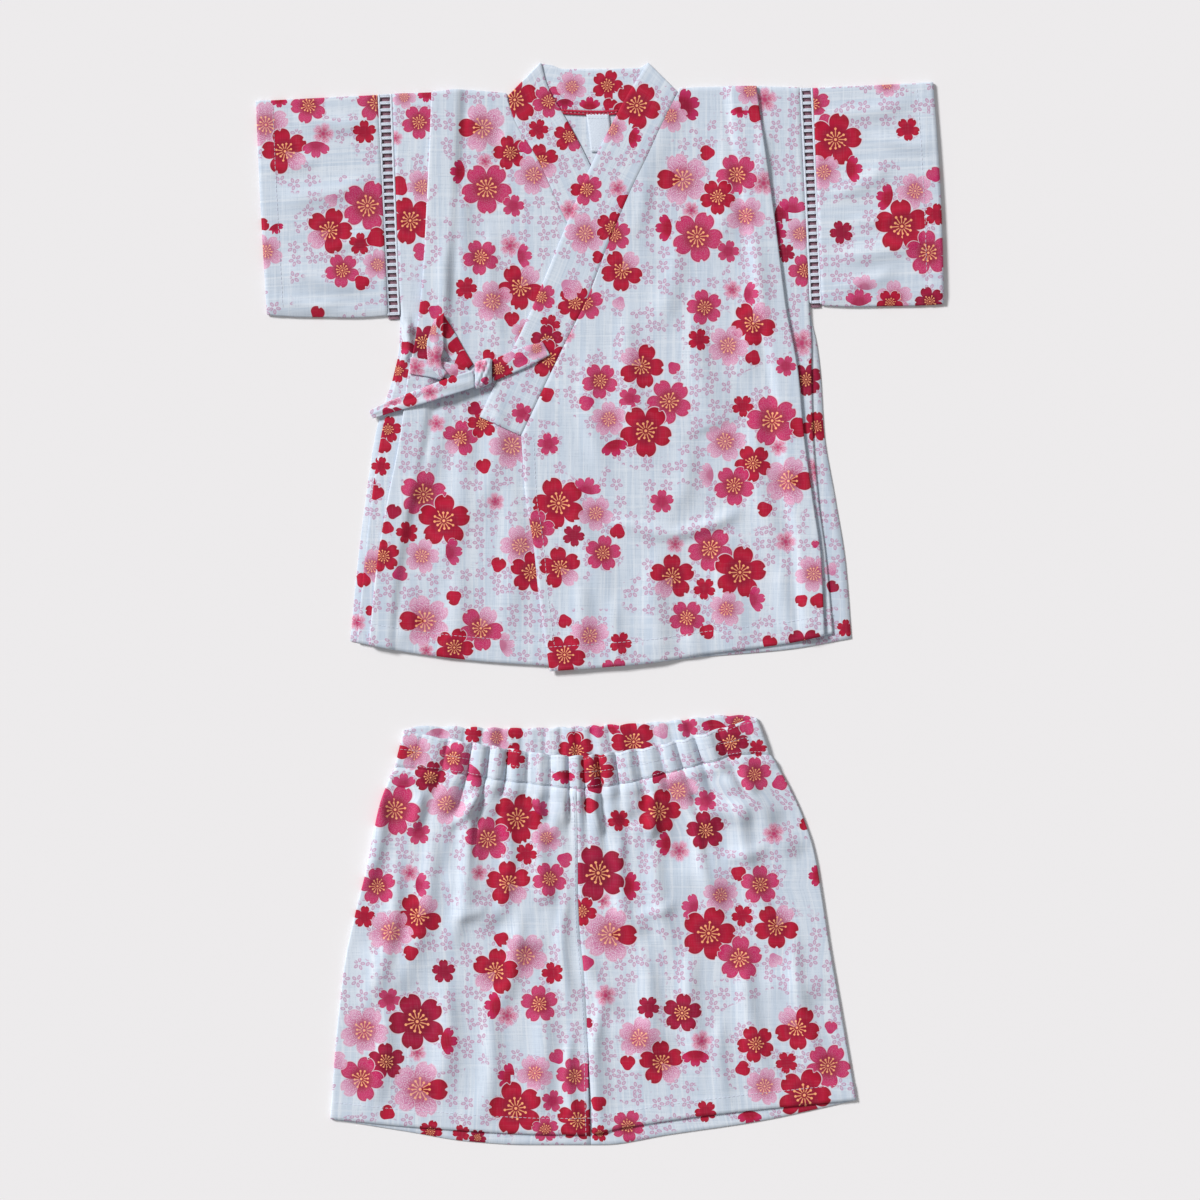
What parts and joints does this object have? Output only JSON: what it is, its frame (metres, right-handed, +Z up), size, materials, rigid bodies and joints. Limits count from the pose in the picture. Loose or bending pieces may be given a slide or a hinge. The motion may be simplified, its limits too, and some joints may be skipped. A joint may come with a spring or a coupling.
{
  "type": "jinbei set laid flat",
  "caption": "Child's jinbei set laid flat: wrap top with lace at the sleeves, tied at the side, above gathered shorts.",
  "frame": {"origin": "middle of the footprint of the two garments as they lie, on the floor", "axes": "+Y from the shorts to the neck of the top, +Z up from the floor, +X to the wearer's left"},
  "size_m": [0.467, 0.7351, 0.0096],
  "materials": {
    "printed_cotton": "matte",
    "ladder_lace": "matte",
    "label_tape": "satin"
  },
  "bodies": {
    "root": {"back_body": "printed_cotton", "front_right": "printed_cotton", "front_left": "printed_cotton", "sleeve_right": "printed_cotton", "sleeve_left": "printed_cotton", "lace_right_front": "ladder_lace", "lace_right_back": "ladder_lace", "lace_left_front": "ladder_lace", "lace_left_back": "ladder_lace", "collar": "printed_cotton", "label": "label_tape", "tie_side": "printed_cotton", "tie_loop_inner": "printed_cotton", "tie_loop_outer": "printed_cotton", "tie_tail": "printed_cotton", "tie_front": "printed_cotton", "tie_knot": "printed_cotton", "leg_right": "printed_cotton", "leg_left": "printed_cotton", "waistband": "printed_cotton"}
  },
  "joints": []
}
